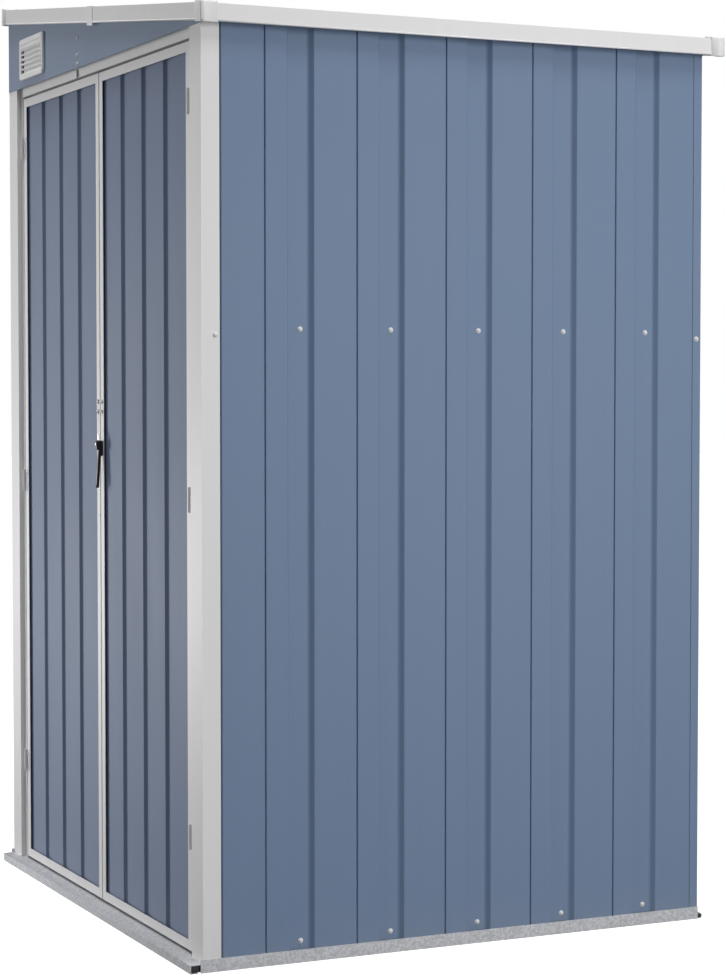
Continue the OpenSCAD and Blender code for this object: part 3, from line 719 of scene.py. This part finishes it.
def vent_pieces():
    """The moulded vent: a rounded rim, thin bars across it, and a shut slanted blade behind each bar.

    The blades stop short of the rim, which leaves an opening at both ends of every bar.
    """
    lo, hi = low("vent"), high("vent")
    deep = hi[1] - lo[1]
    half_rim, rim_corner, rim_inside, opening = 3 * MM, 5 * MM, 10 * MM, 13 * MM
    left, right, foot, top = lo[0] + half_rim, hi[0] - half_rim, lo[2] + half_rim, hi[2] - half_rim
    spots, ways = ring_path((left, foot), (right, top), rim_corner)
    # Rim section: how far out from the path, and how far forward from the wall
    section = np.array([
        [3, 0], [3, 2.6], [2.2, 4.0], [0.5, 4.6], [-5.5, 4.6], [-8, 4.2], [-9, 3.0], [-9, 0]]) * MM
    rim = np.stack([
        spots[:, None, 0] + ways[:, None, 0] * section[None, :, 0],
        np.broadcast_to(hi[1] - section[None, :, 1] * deep / section[:, 1].max(), (len(spots), len(section))),
        spots[:, None, 1] + ways[:, None, 1] * section[None, :, 0]], -1)
    grids = [(rim, True, True)]
    inner = np.array([lo[0] + rim_inside, hi[0] - rim_inside])
    bars, below, above = 6, 12 * MM, 22 * MM
    heights = np.linspace(lo[2] + below, hi[2] - above, bars)
    pitch = heights[1] - heights[0]
    bar = np.array([[0.2, -1.6], [3.0, -1.8], [3.4, -1.2], [3.4, 1.4], [3.0, 1.8], [0.2, 1.6]]) * MM
    blade = np.array([[0.3, 0], [2.2, 0], [0.9, pitch / MM], [0.3, pitch / MM]]) * MM
    for z in heights:
        path = np.stack([inner, [hi[1], hi[1]], [z, z]], 1)
        grids.append((carried(bar, path, -Y, Z), False, True))
    for z in heights[:-1]:
        path = np.stack([inner + [opening, -opening], [hi[1], hi[1]], [z, z]], 1)
        grids.append((carried(blade, path, -Y, Z), False, True))
    hood = np.array([[0, -1], [3.4, -2], [4.5, -1], [4.5, 6], [3.5, 9], [0, 9]]) * MM
    hood_z = heights[-1] + 3 * MM
    path = np.stack([inner, [hi[1], hi[1]], [hood_z, hood_z]], 1)
    grids.append((carried(hood, path, -Y, Z), False, True))
    return grids


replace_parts(make("louvred_vent", vent_pieces(), "shed", PAINT["white_plastic"],
                 smooth=False), "vent")
VENT_SCREW = 2 * MM
vent_lo, vent_hi = low("vent"), high("vent")
vent_screws = places([vent_lo[0] + 5 * MM, vent_hi[0] - 5 * MM], [vent_lo[1] + 0.3 * MM],
                     [vent_lo[2] + 6 * MM, vent_hi[2] - 6 * MM])
screws("vent_screws", vent_screws, -Y, VENT_SCREW, "shed", PAINT["white_plastic"],
       head=RIVET_HEAD)


# ---------- Doorway and doors ----------

door_face = low("left_door_hinge_stile")[1]
head_face = low("door_head")[1]
head_foot = low("door_head")[2]
CLIP_LEFT, CLIP_RIGHT = -0.131, -0.122
clip = soft_block((CLIP_LEFT, head_face - 3.5 * MM, head_foot + 0.3 * MM),
                  (CLIP_RIGHT, head_face + 0.2 * MM, head_foot + 15 * MM))
make("head_clip", [(clip, False, True)], "shed", PAINT["galvanised_steel"])


def hinge_middles():
    """Middle height of each hinge: its points' heights lie together, well apart from the next hinge's."""
    apart = 0.1
    heights = np.sort(points_of("jamb_hinges")[:, 2])
    groups = np.split(heights, np.where(np.diff(heights) > apart)[0] + 1)
    return np.array([(group.min() + group.max()) / 2 for group in groups])


HINGE_SCREW = 2 * MM
plate_face = door_face - 1 * MM
from_plate_edge = 4.5 * MM
jamb_plate = high("jamb_hinges")[0] - from_plate_edge
leaf_plate = low("right_door_hinges")[0] + from_plate_edge
from_middle = np.array([-14.5, 14.5]) * MM
plate_heights = (hinge_middles()[:, None] + from_middle).ravel()
for side in (-1, 1):
    label = "right" if side > 0 else "left"
    jamb_screws = places([side * jamb_plate], [plate_face], plate_heights)
    leaf_screws = places([side * leaf_plate], [plate_face], plate_heights)
    screws(label + "_jamb_screws", jamb_screws, -Y, HINGE_SCREW, "shed", BOLT_ZINC,
           head=RIVET_HEAD)
    screws(label + "_hinge_screws", leaf_screws, -Y, HINGE_SCREW, label + "_door", BOLT_ZINC,
           head=RIVET_HEAD)

# Screws on the meeting stiles: a pair above the lock, and small rivets below it
STILE_SCREW, STILE_RIVET = 3.2 * MM, 1.6 * MM
RIVET_X = -5.5 * MM
lock_lo, lock_hi = low("door_lock"), high("door_lock")
lock_top = lock_hi[2]
stile_mid = middle("right_door_meeting_stile", 0)
above_lock = lock_top + np.array([54, 73]) * MM
below_lock = lock_top - np.array([48, 93, 142]) * MM
for side in (-1, 1):
    body = "right_door" if side > 0 else "left_door"
    screws(body + "_stile_screws", places([side * stile_mid], [door_face], above_lock), -Y, STILE_SCREW,
           body, BOLT_ZINC)
screws("left_door_stile_rivets", places([RIVET_X], [door_face], below_lock), -Y, STILE_RIVET,
       "left_door", BOLT_ZINC, head=RIVET_HEAD)


# Lock barrel: each ring's radius and how far it stands out
BARREL = np.array([[4.0, -6], [4.0, -0.5], [3.6, 0], [2.4, 0], [2.2, -0.6], [0, -0.6]])
lock_x = (lock_lo[0] + lock_hi[0]) / 2
key_x = lock_x + 1 * MM


def lock_pieces():
    """The lock: a soft-edged housing with a narrower foot on a rose, and a handle that hangs from it.

    The handle is a rounded bar carried down a line that leans outwards, and narrows to its end.
    """
    housing_foot = lock_top - 26 * MM
    housing = soft_block((lock_lo[0], lock_lo[1], housing_foot + 8 * MM), lock_hi, 0.45)
    foot = soft_block((lock_lo[0] + 1 * MM, lock_lo[1] + 5 * MM, housing_foot - 4 * MM),
                      (lock_hi[0] - 1 * MM, lock_hi[1], lock_top - 6 * MM), 0.4)
    t = np.linspace(0, 1, 9)
    handle_top, handle_foot = housing_foot + 14 * MM, lock_lo[2] + 0.5 * MM
    drop = handle_top + (handle_foot - handle_top) * t
    lean = lock_lo[1] + (8.4 - 5.4 * t ** 0.8) * MM
    path = np.stack([np.full_like(t, lock_x), lean, drop], 1)
    half_width, half_depth = 4.5 * MM, 2.9 * MM
    angle = np.linspace(0, 2 * np.pi, 20, endpoint=False)
    section = np.stack([power(np.cos(angle), 0.5) * half_width, power(np.sin(angle), 0.5) * half_depth], 1)
    width = np.concatenate([1 - 0.25 * t[:-1], [0.55]])[:, None, None]
    bar = path[:, None, :] + section[None, :, 0, None] * width * X + section[None, :, 1, None] * -Y
    ends = [np.broadcast_to(row.mean(0), (1, len(angle), 3)) for row in (bar[0], bar[-1])]
    handle = np.concatenate([ends[0], bar, ends[1]])
    barrel = turned(BARREL * MM, [(key_x, lock_lo[1], lock_top - 7 * MM)], -Y, 18)
    return [(piece, False, True) for piece in (housing, foot, handle, barrel)]


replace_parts(make("lock_handle", lock_pieces(), "right_door", PAINT["black_lock"]), "door_lock")
key_y = lock_lo[1] + 5 * MM
half_blade, half_bow, half_key = 1 * MM, 3.6 * MM, 0.9 * MM
blade = soft_block((key_x - half_blade, lock_lo[1] - 0.8 * MM, lock_top - 9.5 * MM),
                   (key_x + half_blade, lock_lo[1] + 2 * MM, lock_top - 4.5 * MM), 0.4)
bow = soft_block((key_x - half_bow, key_y - half_key, lock_top + 0.5 * MM),
                 (key_x + half_bow, key_y + half_key, lock_top + 13 * MM), 0.7)
make("lock_key", [(blade, False, True), (bow, False, True)], "right_door", BOLT_ZINC)


def sill_end_shade_block(side):
    """A black block just inside one of the sill's open ends: painted shade standing for the dark hollow of
    the open channel.
    """
    lo, hi = low("front_base_rail"), high("front_base_rail")
    inner, outer = hi[0] - 14 * MM, hi[0] - 3 * MM
    left, right = sorted((side * inner, side * outer))
    return soft_block((left, lo[1] + 1.4 * MM, 1.5 * MM), (right, hi[1] - 1.4 * MM, hi[2] - 2.4 * MM), 0.2)


# Black blocks in the sill's open ends are painted shade for the channel's dark hollow
end_shade_blocks = [(sill_end_shade_block(side), False, True) for side in (-1, 1)]
make("sill_end_painted_shade", end_shade_blocks, "shed", PAINT["black_lock"])


# ---------- Studio ----------

SENSOR, LENS = 36, 89.2                                   # millimetres
AZIMUTH, PITCH = math.radians(64.868), math.radians(2.467)   # round from the front, and down
TO_RIGHT, TO_FRONT = 3.8016, 1.4835                       # from the front right post's corner
EYE = 1.0013                                              # height above the ground
FAR = 100                                                 # past the floor's far edge


def camera():
    """The camera, set from the front right post's corner."""
    data = bpy.data.cameras.new("camera")
    data.sensor_width = SENSOR
    data.lens = LENS
    item = bpy.data.objects.new("camera", data)
    item.location = (POST + TO_RIGHT, FRONT - TO_FRONT, EYE)
    level = math.cos(PITCH)
    ahead = Vector((-math.sin(AZIMUTH) * level, math.cos(AZIMUTH) * level, -math.sin(PITCH)))
    item.rotation_mode = "QUATERNION"
    item.rotation_quaternion = ahead.to_track_quat("-Z", "Y")
    data.clip_end = FAR
    bpy.context.scene.collection.objects.link(item)
    bpy.context.scene.camera = item


def softbox(name, place, aim, width, height, watts, beam):
    """A large soft light at a place, turned towards a point, with a beam of some degrees."""
    data = bpy.data.lights.new(name, "AREA")
    data.shape = "RECTANGLE"
    data.size, data.size_y, data.energy = width, height, watts
    data.spread = math.radians(beam)
    item = bpy.data.objects.new(name, data)
    item.location = place
    item.rotation_mode = "QUATERNION"
    item.rotation_quaternion = (Vector(aim) - Vector(place)).to_track_quat("-Z", "Y")
    bpy.context.scene.collection.objects.link(item)


def pale_floor():
    """A wide pale disc under the shed, as rings of growing radius, that neither lights it nor shows in it."""
    paint = bpy.data.materials.new("pale_floor")
    paint.use_nodes = True
    shader = paint.node_tree.nodes["Principled BSDF"]
    shader.inputs["Base Color"].default_value = (0.55, 0.55, 0.555, 1)
    shader.inputs["Roughness"].default_value = 0.9
    shader.inputs["Specular IOR Level"].default_value = 0.0
    shader.inputs["Emission Color"].default_value = (1, 1, 1, 1)
    shader.inputs["Emission Strength"].default_value = 1.0
    radii, sides = np.array([0.001, 2.0, 6.0, 30.0]), 96
    angle = np.linspace(0, 2 * np.pi, sides, endpoint=False)
    circle = np.stack([np.cos(angle), np.sin(angle), np.zeros_like(angle)], -1)
    disc = radii[:, None, None] * circle[None]
    mesh = bpy.data.meshes.new("floor")
    mesh.from_pydata(disc.reshape(-1, 3).tolist(), [], grid_faces(len(radii), sides, False, True).tolist())
    floor = bpy.data.objects.new("floor", mesh)
    mesh.materials.append(paint)
    floor.location = (0, 0, -0.5 * MM)
    bpy.context.scene.collection.objects.link(floor)
    floor.visible_diffuse = False
    floor.visible_glossy = False


def room():
    """A white room: bright where the camera sees it, and dim where it lights the shed."""
    white, bright, dim = (1, 1, 1, 1), 1.0, 0.12
    world = bpy.data.worlds.new("room")
    bpy.context.scene.world = world
    world.use_nodes = True
    tree = world.node_tree
    tree.nodes.clear()
    seen = add(tree, "Background", in_0=white, in_1=bright)
    lit = add(tree, "Background", in_0=white, in_1=dim)
    path = add(tree, "LightPath")
    mix = add(tree, "MixShader")
    output = add(tree, "OutputWorld")
    tree.links.new(path.outputs["Is Camera Ray"], mix.inputs[0])
    tree.links.new(lit.outputs[0], mix.inputs[1])
    tree.links.new(seen.outputs[0], mix.inputs[2])
    tree.links.new(mix.outputs[0], output.inputs[0])


def studio():
    """The floor, the room and six soft lights."""
    pale_floor()
    room()
    softbox("right_light", (4.4, 1.5, 1.3), (0.5, 0, 0.65), 2.0, 2.8, 51, 120)
    softbox("high_right_light", (2.6, 0.8, 4.5), (0.5, 0, 1.0), 1.6, 1.6, 31, 150)
    softbox("left_light", (-3.8, -2.4, 0.8), (0, -0.5, 0.70), 0.5, 3.0, 26, 120)
    softbox("low_left_light", (-3.2, -2.6, 0.3), (-0.1, -0.5, 0.15), 0.5, 0.8, 6.2, 60)
    softbox("front_light", (1.3, -4.3, 0.6), (0.2, -0.5, 0.55), 2.0, 1.8, 6, 100)
    softbox("top_light", (0.2, -0.85, 4.6), (0, -0.55, 0.2), 1.8, 0.6, 86, 150)
    bpy.context.scene.view_settings.view_transform = "Standard"


camera()
studio()
